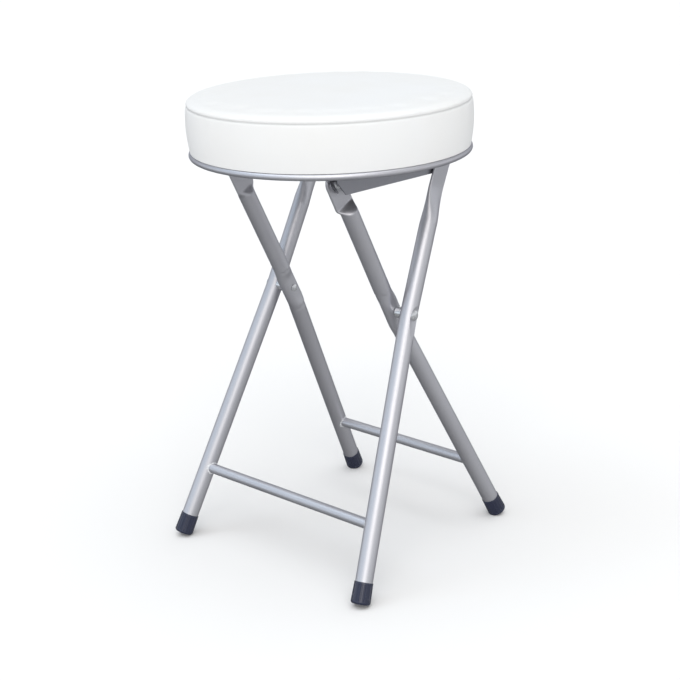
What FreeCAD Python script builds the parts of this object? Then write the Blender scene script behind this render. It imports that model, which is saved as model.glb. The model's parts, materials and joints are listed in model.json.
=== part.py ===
"""Folding stool: a round padded seat on two pairs of crossing steel tube legs.

Millimetres. +Z is up, +X runs along the hinges, -Y is the front. The origin is on the floor.
The outer legs stand with their feet at the front and carry the seat's hinge at the rear.
The inner legs stand with their feet at the rear and hold the seat's hooks at the front.
"""
import FreeCAD, Part
import math
import os

V = FreeCAD.Vector

# Seat: cover, foam, board and pan
SEAT_DIAMETER = 290.0      # at the seam between top panel and side band
SEAT_FORWARD = 2.9         # the seat's centre stands this far in front of the rails' middle
BAND_HEIGHT = 46.9         # side band, from the pan up to the seam
EDGE_RISE = 7.5            # rolled edge of the top panel, above the seam
EDGE_RUN = 8.0             # and inwards from the seam
CROWN_RISE = 5.0           # crown of the top panel, above its rolled edge
BAND_BULGE = 1.2           # side band's swell beyond the seam
BAND_BULGE_DROP = 16.0     # below the seam
BAND_TUCK = 1.8            # how far the side band draws in at the rim
COVER_THICKNESS = 1.0
HEM_WIDTH = 14.0           # band turned under the board
SOFT_GAP = 0.3             # between foam and what is round it
BOARD_THICKNESS = 12.0
BOARD_EDGE_RADIUS = 3.0
RIM_HEIGHT = 6.6           # rolled rim of the pan
PAN_THICKNESS = 1.0

# Screws through the pan into the board
SCREW_PLACE_X = 40.0
SCREW_PLACE_Y = 80.0
SCREW_DIAMETER = 4.0
SCREW_LENGTH = 9.0
SCREW_HEAD_DIAMETER = 8.5
SCREW_HEAD_HEIGHT = 2.2

# Rails: folded channels under the pan
RAIL_SPREAD = 168.0        # over the outer faces of both rails
RAIL_WIDTH = 12.7
RAIL_LENGTH = 169.0
RAIL_DEPTH = 30.0          # at the rear
RAIL_FRONT_RISE = 2.7      # the lower edge stands this much higher at the front
RAIL_WALL = 1.5
RAIL_BEND_RADIUS = 2.5     # outside of the fold
RAIL_CORNER_RUN = 11.5     # slanted lower corners
RAIL_CORNER_RISE = 13.0
RAIL_RELIEF = 20.0         # the inner wall ends this far in front of the seat hinge
RAIL_RELIEF_LIP = 5.0      # what the relief leaves under the rail's top
RAIL_RIVET_DIAMETER = 5.0
RAIL_RIVET_HEAD_DIAMETER = 8.4
RAIL_RIVET_HEAD_HEIGHT = 1.8
RAIL_RIVET_DROP = 18.0     # below the rail's top

# Legs
TUBE_DIAMETER = 18.0
TUBE_WALL = 1.2
PIVOT_INSET = 11.8         # studs and seat hinge stand this far inside the rails' ends
PIVOT_HEIGHT = 415.0       # studs and seat hinge above the floor
PIVOT_DROP = 17.1          # and below the rails' top
CROSS_HEIGHT = 267.7       # scissor hinge above the floor
CROSS_SETBACK = 2.1        # and behind the rails' middle
LEG_SPLAY = 36.5           # each foot stands this far outside its crossing
LEG_BEND_RADIUS = 120.0
FLAT_THICKNESS = 3.0       # flattened tops
OUTER_FLAT_WIDTH = 22.5
INNER_FLAT_WIDTH = 25.0
FLAT_LENGTH = 26.0         # below the pivot
PINCH_GAP = 0.6            # hollow left in the tube where it is pressed flat
OUTER_RAMP = 44.0          # from round to flat
INNER_RAMP = 9.0
INNER_FLAT_OFFSET = 3.2    # the inner legs' flats lie this much nearer the middle than their tubes
RAMP_STATIONS = 6          # steps of a drawn ramp
SQUEEZE_THICKNESS = 13.0   # inner legs at the crossing
SQUEEZE_WIDTH = 20.0
SQUEEZE_LENGTH = 24.0
SQUEEZE_RAMP = 16.0
SQUEEZE_SHIFT = 1.6        # the squeezed part stands this far outside the tube's axis
BAR_DIAMETER = 11.0
BAR_WALL = 1.0
BAR_HEIGHT = 73.5          # crossbars above the floor

# Rivets, studs, washers and spacers
RIVET_DIAMETER = 6.0
RIVET_HEAD_DIAMETER = 11.0
RIVET_HEAD_HEIGHT = 2.4
RIVET_TAIL_DIAMETER = 8.0  # the closed end of a crossing rivet
RIVET_TAIL_HEIGHT = 1.5
HEAD_SEAT_DEPTH = 1.6      # the crossing rivets' heads lie in flats pressed this deep into the outer legs
HEAD_SEAT_MARGIN = 0.5     # room round a head in its flat
HEAD_SEAT_FLARE = 4.0      # a flat's side opens this much per unit of depth
STUD_DIAMETER = 8.0
HEAD_RIM = 0.25            # straight edge of every domed head, as a share of its height
WASHER_DIAMETER = 16.0
WASHER_THICKNESS = 0.9
SPACER_DIAMETER = 11.8
SPACER_LENGTH = 6.3
SPACER_EDGE_RADIUS = 1.4
RUN_FIT = 0.05             # radial, a rivet in its hole
SIDE_GAP = 0.3             # between pieces that turn past each other
HOOK_GAP = 0.5             # round a stud in its notch

# Foot caps
CAP_LENGTH = 22.4
CAP_BASE = 3.0             # floor of the cap under the tube
CAP_WALL = 0.6             # at the mouth
CAP_FIT = 0.05             # radial, a cap on its tube
CAP_FLARE = 0.5            # thicker at the foot
CAP_EDGE_RADIUS = 2.5
FOOT_FLAT = 0.6            # depth worn flat where a cap meets the floor

# Folding: the seat turns this many degrees for each degree between the legs
SEAT_TURN_RATIO = 2.35
HOOK_CLEAR_TURN = 3.5      # degrees between the legs at which a stud has left its notch

# Worked-out sizes
TUBE_RADIUS = TUBE_DIAMETER / 2
SEAT_RADIUS = SEAT_DIAMETER / 2
RIVET_RADIUS = RIVET_DIAMETER / 2
STUD_RADIUS = STUD_DIAMETER / 2
FLAT_HALF = FLAT_THICKNESS / 2
PIVOT_SPREAD = RAIL_LENGTH - 2 * PIVOT_INSET   # from the inner legs' studs to the seat's hinge
PIVOT_HALF = PIVOT_SPREAD / 2
RAIL_TOP = PIVOT_HEIGHT + PIVOT_DROP
RAIL_BOTTOM = RAIL_TOP - RAIL_DEPTH
PAN_UNDERSIDE = RAIL_TOP
RIM_TOP = PAN_UNDERSIDE + PAN_THICKNESS
SEAM_HEIGHT = RIM_TOP + BAND_HEIGHT
RAIL_OUTER_X = RAIL_SPREAD / 2
RAIL_INNER_X = RAIL_OUTER_X - RAIL_WIDTH
OUTER_TOP_X = RAIL_OUTER_X + SIDE_GAP + WASHER_THICKNESS + FLAT_HALF
INNER_TOP_X = RAIL_INNER_X - SIDE_GAP - WASHER_THICKNESS - FLAT_HALF
INNER_TUBE_X = INNER_TOP_X + INNER_FLAT_OFFSET
SQUEEZE_HALF = SQUEEZE_THICKNESS / 2
SQUEEZE_X = INNER_TUBE_X + SQUEEZE_SHIFT
SPACER_INNER_X = SQUEEZE_X + SQUEEZE_HALF + SIDE_GAP
OUTER_CROSS_X = SPACER_INNER_X + SPACER_LENGTH + TUBE_RADIUS
HEAD_SEAT_X = OUTER_CROSS_X + TUBE_RADIUS - HEAD_SEAT_DEPTH
HEAD_SEAT_RADIUS = RIVET_HEAD_DIAMETER / 2 + HEAD_SEAT_MARGIN
FAR = 1000.0               # reaches past the whole stool


def face(start, *steps):
    """Flat face from a start point and steps: a point for a line, two points for an arc."""
    edges = []
    here = start
    for step in steps:
        if isinstance(step, tuple):
            edges.append(Part.Arc(here, step[0], step[1]).toShape())
            here = step[1]
        else:
            edges.append(Part.LineSegment(here, step).toShape())
            here = step
    if not here.isEqual(start, 1e-7):
        edges.append(Part.LineSegment(here, start).toShape())
    return Part.Face(Part.Wire(edges))


def spun(profile):
    """Solid of revolution about the seat's axis."""
    solid = profile.revolve(V(0, 0, 0), V(0, 0, 1), 360)
    solid.translate(V(0, -SEAT_FORWARD, 0))
    return solid


def along_x(radius, x_from, x_to, y=0.0, z=0.0):
    """Round bar along X."""
    return Part.makeCylinder(radius, x_to - x_from, V(x_from, y, z), V(1, 0, 0))


def dome_middle(radius, rise):
    """Point halfway up a dome of this radius and rise: X along its axis, Y out from it."""
    ball = (radius ** 2 + rise ** 2) / (2 * rise)
    half_angle = math.asin(radius / ball) / 2
    return V(rise - ball + ball * math.cos(half_angle), ball * math.sin(half_angle), 0)


def dome_head(diameter, height, x, outward, y=0.0, z=0.0):
    """Rivet head on the plane x, crowned along +X (outward 1) or -X (outward -1)."""
    radius = diameter / 2
    rim = HEAD_RIM * height
    mid = dome_middle(radius, height - rim) + V(rim, 0, 0)
    profile = face(V(0, 0, 0), V(0, radius, 0), V(rim, radius, 0), (mid, V(height, 0, 0)))
    head = profile.revolve(V(0, 0, 0), V(1, 0, 0), 360)
    if outward < 0:
        head.rotate(V(0, 0, 0), V(0, 0, 1), 180)
    head.translate(V(x, y, z))
    return head


def ring(outer_diameter, bore_radius, x_from, x_to, y=0.0, z=0.0):
    """Washer or spacer along X on a rivet."""
    blank = along_x(outer_diameter / 2, x_from, x_to, y, z)
    return blank.cut(along_x(bore_radius + RUN_FIT, x_from, x_to, y, z))


def mirrored(shape):
    """The same piece on the other side of the stool."""
    return shape.mirror(V(0, 0, 0), V(1, 0, 0))


def both_sides(shape):
    """A piece and its mirror image as one group of separate solids."""
    return Part.makeCompound([shape, mirrored(shape)])


# Seat

def cover_line(inset):
    """Outline of the seat, this far inside the cover's outer surface: rim, bulge, seam, edge, crown."""
    foot = V(SEAT_RADIUS - BAND_TUCK - inset, 0, RIM_TOP)
    bulge = V(SEAT_RADIUS + BAND_BULGE - inset, 0, SEAM_HEIGHT - BAND_BULGE_DROP)
    seam = V(SEAT_RADIUS - inset, 0, SEAM_HEIGHT)
    edge = V(SEAT_RADIUS - EDGE_RUN, 0, SEAM_HEIGHT + EDGE_RISE - inset)
    turn = math.radians(45)
    roll_run = EDGE_RUN - inset
    roll_rise = EDGE_RISE - inset
    roll = V(edge.x + roll_run * math.cos(turn), 0, SEAM_HEIGHT + roll_rise * math.sin(turn))
    top = V(0, 0, edge.z + CROWN_RISE)
    crown = dome_middle(edge.x, CROWN_RISE)
    return foot, bulge, seam, roll, edge, V(crown.y, 0, edge.z + crown.x), top


def make_cover_top():
    _, _, seam, roll, edge, crown, top = cover_line(0)
    _, _, in_seam, in_roll, in_edge, in_crown, in_top = cover_line(COVER_THICKNESS)
    return spun(face(seam, (roll, edge), (crown, top), in_top, (in_crown, in_edge), (in_roll, in_seam)))


def make_cover_band():
    foot, bulge, seam = cover_line(0)[:3]
    in_foot, in_bulge, in_seam = cover_line(COVER_THICKNESS)[:3]
    wall = spun(face(foot, (bulge, seam), in_seam, (in_bulge, in_foot)))
    hem_top = RIM_TOP + COVER_THICKNESS
    hem = spun(face(V(foot.x - HEM_WIDTH, 0, RIM_TOP), V(foot.x - COVER_THICKNESS / 2, 0, RIM_TOP),
                    V(foot.x - COVER_THICKNESS / 2, 0, hem_top), V(foot.x - HEM_WIDTH, 0, hem_top)))
    return wall.fuse(hem).removeSplitter()


BOARD_BOTTOM = RIM_TOP + COVER_THICKNESS
BOARD_TOP = BOARD_BOTTOM + BOARD_THICKNESS
BOARD_RADIUS = SEAT_RADIUS - BAND_TUCK - COVER_THICKNESS - SOFT_GAP


def screw_places():
    for x in (-SCREW_PLACE_X, SCREW_PLACE_X):
        for y in (-SCREW_PLACE_Y, SCREW_PLACE_Y):
            yield V(x, y - SEAT_FORWARD, PAN_UNDERSIDE)


def make_board():
    board = Part.makeCylinder(BOARD_RADIUS, BOARD_THICKNESS, V(0, -SEAT_FORWARD, BOARD_BOTTOM))
    rims = [edge for edge in board.Edges if edge.Closed]
    board = board.makeFillet(BOARD_EDGE_RADIUS, rims)
    for place in screw_places():
        board = board.cut(Part.makeCylinder(SCREW_DIAMETER / 2 + RUN_FIT, SCREW_LENGTH + RUN_FIT, place))
    return board


def make_foam():
    foot, bulge, seam, roll, edge, crown, top = cover_line(COVER_THICKNESS + SOFT_GAP)
    filling = spun(face(V(0, 0, RIM_TOP), foot, (bulge, seam), (roll, edge), (crown, top)))
    return filling.common(Part.makeCylinder(FAR, FAR, V(0, 0, BOARD_TOP)))


def make_pan():
    roll = RIM_HEIGHT / 2
    inside = roll - PAN_THICKNESS
    middle = RIM_TOP - roll
    roll_x = SEAT_RADIUS - roll
    top = V(roll_x, 0, RIM_TOP)
    lip = V(roll_x, 0, RIM_TOP - RIM_HEIGHT)
    lip_inside = V(roll_x, 0, middle - inside)
    pan = spun(face(V(0, 0, RIM_TOP), top, (V(roll_x + roll, 0, middle), lip), lip_inside,
                    (V(roll_x + inside, 0, middle), V(roll_x, 0, middle + inside)), V(0, 0, PAN_UNDERSIDE)))
    for place in screw_places():
        pan = pan.cut(Part.makeCylinder(SCREW_DIAMETER / 2 + RUN_FIT, PAN_THICKNESS, place))
    return pan


def make_screws():
    half = SCREW_DIAMETER / 2
    tip = SCREW_LENGTH - SCREW_DIAMETER
    shank = face(V(0, 0, 0), V(half, 0, 0), V(half, 0, tip), V(0, 0, SCREW_LENGTH))
    shank = shank.revolve(V(0, 0, 0), V(0, 0, 1), 360)
    head = dome_head(SCREW_HEAD_DIAMETER, SCREW_HEAD_HEIGHT, 0, 1)
    head.rotate(V(0, 0, 0), V(0, 1, 0), 90)
    screw = shank.fuse(head)
    return Part.makeCompound([screw.translated(place) for place in screw_places()])


# Rails

def turned_back(y, z, degrees):
    """A vector in the fold's plane, turned the way the legs close."""
    angle = math.radians(degrees)
    return V(0, y * math.cos(angle) + z * math.sin(angle), z * math.cos(angle) - y * math.sin(angle))


def stud_in_seat(degrees):
    """Where a stud stands, seen from the seat, once the legs have closed by this angle."""
    cross = V(0, CROSS_SETBACK, CROSS_HEIGHT)
    hinge = V(0, PIVOT_HALF, PIVOT_HEIGHT)
    arm = V(0, -PIVOT_HALF, PIVOT_HEIGHT) - cross
    moved = cross + turned_back(arm.y, arm.z, degrees) - hinge
    return hinge + turned_back(moved.y, moved.z, -SEAT_TURN_RATIO * degrees)


def hook_notch():
    """Slot that follows a stud's way out of the rail's inner wall."""
    rest = stud_in_seat(0)
    way = (stud_in_seat(HOOK_CLEAR_TURN) - rest).normalize()
    across = V(0, way.z, -way.y)
    half = STUD_RADIUS + HOOK_GAP
    x_from = V(RAIL_INNER_X - RAIL_WALL, 0, 0)
    mouth = rest + way * (2 * RAIL_DEPTH)
    slot = face(rest + across * half + x_from, mouth + across * half + x_from,
                mouth - across * half + x_from, rest - across * half + x_from)
    slot = slot.extrude(V(3 * RAIL_WALL, 0, 0))
    return slot.fuse(along_x(half, x_from.x, x_from.x + 3 * RAIL_WALL, rest.y, rest.z))


def top_rounded_block(width, depth, x, z, radius):
    """Bar along Y as long as a rail, its two upper edges rounded."""
    block = Part.makeBox(width, RAIL_LENGTH, depth, V(x, -RAIL_LENGTH / 2, z))
    lengthwise = [edge for edge in block.Edges if edge.BoundBox.YLength > RAIL_LENGTH / 2]
    upper = [edge for edge in lengthwise if edge.BoundBox.ZMin > z + depth / 2]
    return block.makeFillet(radius, upper)


def make_rail():
    """Sheet folded into a channel, with slanted ends, a hook notch and a hinge hole."""
    outside = top_rounded_block(RAIL_WIDTH, RAIL_DEPTH, RAIL_INNER_X, RAIL_BOTTOM, RAIL_BEND_RADIUS)
    inside = top_rounded_block(RAIL_WIDTH - 2 * RAIL_WALL, RAIL_DEPTH - RAIL_WALL, RAIL_INNER_X + RAIL_WALL,
                               RAIL_BOTTOM, RAIL_BEND_RADIUS - RAIL_WALL)
    end = RAIL_LENGTH / 2
    foot = end - RAIL_CORNER_RUN
    front_bottom = RAIL_BOTTOM + RAIL_FRONT_RISE
    side = face(V(0, -end, RAIL_TOP), V(0, end, RAIL_TOP), V(0, end, RAIL_BOTTOM + RAIL_CORNER_RISE),
                V(0, foot, RAIL_BOTTOM), V(0, -foot, front_bottom),
                V(0, -end, front_bottom + RAIL_CORNER_RISE))
    channel = outside.cut(inside).common(side.extrude(V(FAR, 0, 0)))
    relief = Part.makeBox(2 * RAIL_WALL, RAIL_LENGTH, RAIL_DEPTH - RAIL_RELIEF_LIP,
                          V(RAIL_INNER_X - RAIL_WALL / 2, PIVOT_HALF - RAIL_RELIEF, RAIL_BOTTOM))
    hinge_hole = along_x(RIVET_RADIUS + RUN_FIT, RAIL_OUTER_X - 2 * RAIL_WALL, FAR, PIVOT_HALF, PIVOT_HEIGHT)
    rivet_hole = along_x(RAIL_RIVET_DIAMETER / 2 + RUN_FIT, 0, FAR, 0, RAIL_TOP - RAIL_RIVET_DROP)
    return channel.cut([relief, hook_notch(), hinge_hole, rivet_hole])


def make_rail_rivet():
    z = RAIL_TOP - RAIL_RIVET_DROP
    shank = along_x(RAIL_RIVET_DIAMETER / 2, RAIL_INNER_X, RAIL_OUTER_X, 0, z)
    heads = [dome_head(RAIL_RIVET_HEAD_DIAMETER, RAIL_RIVET_HEAD_HEIGHT, RAIL_OUTER_X, 1, 0, z),
             dome_head(RAIL_RIVET_HEAD_DIAMETER, RAIL_RIVET_HEAD_HEIGHT, RAIL_INNER_X, -1, 0, z)]
    return shank.fuse(heads)


# Legs are drawn in their own leaning plane: X across, Z up along the leg from the crossing.

class LegPlane:
    """One pair of legs: where the crossing, the top pivot and the foot lie in the leaning plane."""

    def __init__(self, pivot_y, cross_x, top_x, ramp, flat_width):
        run = pivot_y - CROSS_SETBACK
        rise = PIVOT_HEIGHT - CROSS_HEIGHT
        lean = math.atan2(run, rise)
        self.cross_x = cross_x
        self.top_x = top_x
        self.ramp = ramp
        self.flat_width = flat_width
        self.pivot = math.hypot(run, rise)
        self.placement = FreeCAD.Placement(V(0, CROSS_SETBACK, CROSS_HEIGHT),
                                           FreeCAD.Rotation(V(1, 0, 0), -math.degrees(lean)))
        foot = V(LEG_SPLAY, 0, -CROSS_HEIGHT / math.cos(lean))
        self.down = V(foot).normalize()
        self.upright = CROSS_HEIGHT / foot.Length      # cosine of the lower leg's tilt

    def on_lower_leg(self, height):
        """Point of the lower leg's axis at this height above the floor."""
        return V(self.cross_x, 0, 0) + self.down * ((CROSS_HEIGHT - height) / self.upright)

    def cap_end(self):
        """Middle of the foot cap's end face."""
        radius = TUBE_RADIUS + CAP_FIT + CAP_WALL + CAP_FLARE - CAP_EDGE_RADIUS
        slope = math.sqrt(1 - self.upright ** 2)
        return self.on_lower_leg(radius * slope + CAP_EDGE_RADIUS * (1 - self.upright) - FOOT_FLAT)

    def tube_end(self):
        return self.cap_end() - self.down * CAP_BASE

    def placed(self, shape):
        """The shape, drawn in the leaning plane, moved to where it stands."""
        moved = shape.copy()
        moved.Placement = self.placement.multiply(moved.Placement)
        return moved


OUTER = LegPlane(PIVOT_HALF, OUTER_CROSS_X, OUTER_TOP_X, OUTER_RAMP, OUTER_FLAT_WIDTH)
INNER = LegPlane(-PIVOT_HALF, INNER_TUBE_X, INNER_TOP_X, INNER_RAMP, INNER_FLAT_WIDTH)


def between(begin, end, share):
    return begin + (end - begin) * share


def eased(share):
    """Share of a ramp's change at this share of its length: a soft start and a soft end."""
    return share * share * (3 - 2 * share)


def tube_section(middle, normal, pressed, wall, thickness, width):
    """Section of a tube, square to the normal and this far inside the tube's surface.

    Pressed 0 is the round tube, pressed 1 is flat along X to this thickness and width. The section is an
    oval of two face arcs and two end arcs that run smoothly into each other at the four corners.
    """
    side = V(normal.z, 0, -normal.x)
    depth = V(0, 1, 0)
    round_half = TUBE_RADIUS - wall
    half = between(round_half, thickness / 2, pressed)
    reach = between(round_half, width / 2, pressed)
    turn = math.radians(45) * (1 - pressed)
    end_radius = half
    if pressed < 1:
        end_radius = reach - (reach - half) * math.sin(turn) / (math.cos(turn) + math.sin(turn) - 1)
    face_x = end_radius * math.cos(turn)
    face_y = reach - end_radius + end_radius * math.sin(turn)

    def at(across, along):
        return middle + side * across + depth * along

    corners = [at(face_x, -face_y), at(face_x, face_y), at(-face_x, face_y), at(-face_x, -face_y)]
    tops = [at(half, 0), at(0, reach), at(-half, 0), at(0, -reach)]
    edges = []
    for index in range(4):
        begin, end = corners[index], corners[(index + 1) % 4]
        flat = pressed == 1 and index % 2 == 0
        line = Part.LineSegment(begin, end) if flat else Part.Arc(begin, tops[index], end)
        edges.append(line.toShape())
    return Part.Wire(edges)


def tube_run(sections):
    return Part.makeLoft(sections, True, False)


def bent_tube(points, radius):
    """Round tube through three points, with a bend at the middle one."""
    start, corner, end = points
    before = (corner - start).normalize()
    after = (end - corner).normalize()
    turn = before.getAngle(after)
    trim = LEG_BEND_RADIUS * math.tan(turn / 2)
    bend_from, bend_to = corner - before * trim, corner + after * trim
    inward = (after - before).normalize()
    mid = corner + inward * (LEG_BEND_RADIUS / math.cos(turn / 2) - LEG_BEND_RADIUS)
    path = Part.Wire([Part.LineSegment(start, bend_from).toShape(),
                      Part.Arc(bend_from, mid, bend_to).toShape(),
                      Part.LineSegment(bend_to, end).toShape()])
    ring_edge = Part.makeCircle(radius, start, before)
    return path.makePipeShell([Part.Wire([ring_edge])], True, False)


def flat_top(plane):
    """Flattened end of a leg, rounded about the pivot."""
    base = V(plane.top_x, 0, plane.pivot - FLAT_LENGTH)
    width = plane.flat_width
    section = Part.Face(tube_section(base, V(0, 0, 1), 1, 0, FLAT_THICKNESS, width))
    plate = section.extrude(V(0, 0, FLAT_LENGTH))
    corner = V(plane.top_x - FLAT_HALF, 0, base.z - FLAT_HALF)
    half = section.common(Part.makeBox(width, width, width, corner))
    half.translate(V(0, 0, FLAT_LENGTH))
    tip = half.revolve(V(0, 0, plane.pivot), V(1, 0, 0), 180)
    return plate.fuse(tip)


def round_to_flat(plane, wall, foot, rising):
    """Ramp from the round tube's end to the flattened top, this far inside the tube's surface."""
    top = V(plane.top_x, 0, plane.pivot - FLAT_LENGTH)
    upright = V(0, 0, 1)
    thickness = PINCH_GAP if wall else FLAT_THICKNESS
    sections = []
    for station in range(RAMP_STATIONS + 1):
        share = station / RAMP_STATIONS
        pressed = eased(share)
        middle = between(foot, top, share)
        middle.x = between(foot.x, top.x, pressed)
        normal = between(rising, upright, share).normalize()
        sections.append(tube_section(middle, normal, pressed, wall, thickness, plane.flat_width - 2 * wall))
    return tube_run(sections)


def head_seat(depth):
    """Room of a pressed flat for a crossing rivet's head, this far behind the flat's face."""
    radius = HEAD_SEAT_RADIUS + depth
    rim = radius + HEAD_SEAT_FLARE * TUBE_RADIUS
    return Part.makeCone(radius, rim, TUBE_RADIUS, V(HEAD_SEAT_X - depth, 0, 0), V(1, 0, 0))


def outer_leg_body(wall):
    """Outer leg from its foot to the flat, this far inside the tube's surface."""
    corner = V(OUTER.cross_x, 0, 0)
    flat_base = V(OUTER.top_x, 0, OUTER.pivot - FLAT_LENGTH)
    rising = (flat_base - corner).normalize()
    ramp_foot = flat_base - rising * OUTER.ramp
    tube = bent_tube([OUTER.tube_end(), corner, ramp_foot], TUBE_RADIUS - wall)
    return tube.fuse(round_to_flat(OUTER, wall, ramp_foot, rising)).cut(head_seat(wall))


def squeezed_run(wall):
    """Inner leg at the crossing: round, squeezed and round again, bending to the lower leg's line."""
    reach = SQUEEZE_LENGTH / 2 + SQUEEZE_RAMP
    upright = V(0, 0, 1)
    sections = []
    for station in range(-RAMP_STATIONS, RAMP_STATIONS + 1):
        z = reach * station / RAMP_STATIONS
        pressed = eased(min(1, (reach - abs(z)) / SQUEEZE_RAMP))
        rising = INNER.down * -1 if z < 0 else upright
        on_axis = V(INNER.cross_x, 0, 0) + rising * (z / rising.z)
        middle = between(on_axis, V(SQUEEZE_X, 0, z), pressed)
        normal = between(rising, upright, pressed).normalize()
        sections.append(tube_section(middle, normal, pressed, wall, SQUEEZE_THICKNESS - 2 * wall,
                                     SQUEEZE_WIDTH - 2 * wall))
    return tube_run(sections)


def inner_leg_body(wall):
    """Inner leg from its foot to the flat, this far inside the tube's surface."""
    reach = SQUEEZE_LENGTH / 2 + SQUEEZE_RAMP
    upright = V(0, 0, 1)
    radius = TUBE_RADIUS - wall
    foot = INNER.tube_end()
    knee = V(INNER.cross_x, 0, 0) + INNER.down * (reach / -INNER.down.z)
    upper_from = V(INNER.cross_x, 0, reach)
    ramp_foot = V(INNER.cross_x, 0, INNER.pivot - FLAT_LENGTH - INNER.ramp)
    lower_tube = Part.makeCylinder(radius, (knee - foot).Length, foot, knee - foot)
    upper_tube = Part.makeCylinder(radius, ramp_foot.z - upper_from.z, upper_from, upright)
    return lower_tube.fuse([squeezed_run(wall), upper_tube, round_to_flat(INNER, wall, ramp_foot, upright)])


def make_leg(plane, body, top_radius):
    """Hollow leg with its flat top and its hinge holes, and the same leg without its hollow."""
    outside = body(0).fuse(flat_top(plane)).removeSplitter()
    holes = [along_x(RIVET_RADIUS + RUN_FIT, 0, FAR, 0, 0),
             along_x(top_radius + RUN_FIT, 0, FAR, 0, plane.pivot)]
    return plane.placed(outside.cut([body(TUBE_WALL)] + holes)), outside


def make_crossbar(plane, leg_outside):
    """Welded tube between two legs, its ends shaped to them."""
    end = plane.on_lower_leg(BAR_HEIGHT)
    tube = along_x(BAR_DIAMETER / 2, 0, end.x, 0, end.z).cut(
        along_x(BAR_DIAMETER / 2 - BAR_WALL, 0, end.x, 0, end.z))
    half = tube.cut(leg_outside)
    return plane.placed(half.fuse(mirrored(half)).removeSplitter())


def make_foot_cap(plane):
    """Push-on cap, flared to its foot and flat where it meets the floor."""
    bore = TUBE_RADIUS + CAP_FIT
    mouth = bore + CAP_WALL
    foot = mouth + CAP_FLARE
    edge = CAP_EDGE_RADIUS
    corner = math.sqrt(0.5)
    profile = face(V(0, 0, 0), V(foot - edge, 0, 0),
                   (V(foot - edge + edge * corner, 0, edge - edge * corner), V(foot, 0, edge)),
                   V(mouth, 0, CAP_LENGTH), V(bore, 0, CAP_LENGTH), V(bore, 0, CAP_BASE), V(0, 0, CAP_BASE))
    cap = profile.revolve(V(0, 0, 0), V(0, 0, 1), 360)
    cap.Placement = FreeCAD.Placement(plane.cap_end(), FreeCAD.Rotation(V(0, 0, 1), plane.down * -1))
    floor = Part.makeBox(2 * FAR, 2 * FAR, FAR, V(-FAR, -FAR, -FAR))
    return plane.placed(cap).cut(floor)


# Hinges

def make_crossing_rivet():
    """Scissor hinge: its head in the outer leg's pressed flat, its tail inside the inner leg."""
    inner_face = SQUEEZE_X - SQUEEZE_HALF - SIDE_GAP
    shank = along_x(RIVET_RADIUS, inner_face, HEAD_SEAT_X)
    heads = [dome_head(RIVET_HEAD_DIAMETER, RIVET_HEAD_HEIGHT, HEAD_SEAT_X, 1),
             dome_head(RIVET_TAIL_DIAMETER, RIVET_TAIL_HEIGHT, inner_face, -1)]
    return OUTER.placed(shank.fuse(heads))


def make_crossing_spacer(leg_outside):
    """Bush between the legs, rounded at the inner leg, its outer end shaped to the tube."""
    bush = ring(SPACER_DIAMETER, RIVET_RADIUS, SPACER_INNER_X, OUTER_CROSS_X)
    ends = [edge for edge in bush.Edges if edge.BoundBox.XMax < SPACER_INNER_X + SPACER_LENGTH / 2]
    rim = max(ends, key=lambda edge: edge.Length)
    bush = bush.makeFillet(SPACER_EDGE_RADIUS, [rim])
    return OUTER.placed(bush.cut(leg_outside))


def make_seat_pivot():
    """Rivet of the seat's hinge, through the outer leg's flat and the rail's outer wall."""
    outer_face = OUTER_TOP_X + FLAT_HALF
    inner_face = RAIL_OUTER_X - RAIL_WALL - SIDE_GAP
    shank = along_x(RIVET_RADIUS, inner_face, outer_face, PIVOT_HALF, PIVOT_HEIGHT)
    heads = [dome_head(RIVET_HEAD_DIAMETER, RIVET_HEAD_HEIGHT, outer_face, 1, PIVOT_HALF, PIVOT_HEIGHT),
             dome_head(RIVET_HEAD_DIAMETER, RIVET_HEAD_HEIGHT, inner_face, -1, PIVOT_HALF, PIVOT_HEIGHT)]
    return shank.fuse(heads)


def make_hook_stud():
    """Headed stud on the inner leg's flat, for the rail's notch."""
    inner_face = INNER_TOP_X - FLAT_HALF
    head_face = RAIL_INNER_X + RAIL_WALL + SIDE_GAP
    shank = along_x(STUD_RADIUS, inner_face, head_face, -PIVOT_HALF, PIVOT_HEIGHT)
    heads = [dome_head(RIVET_HEAD_DIAMETER, RIVET_HEAD_HEIGHT, head_face, 1, -PIVOT_HALF, PIVOT_HEIGHT),
             dome_head(RIVET_HEAD_DIAMETER, RIVET_HEAD_HEIGHT, inner_face, -1, -PIVOT_HALF, PIVOT_HEIGHT)]
    return shank.fuse(heads)


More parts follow.
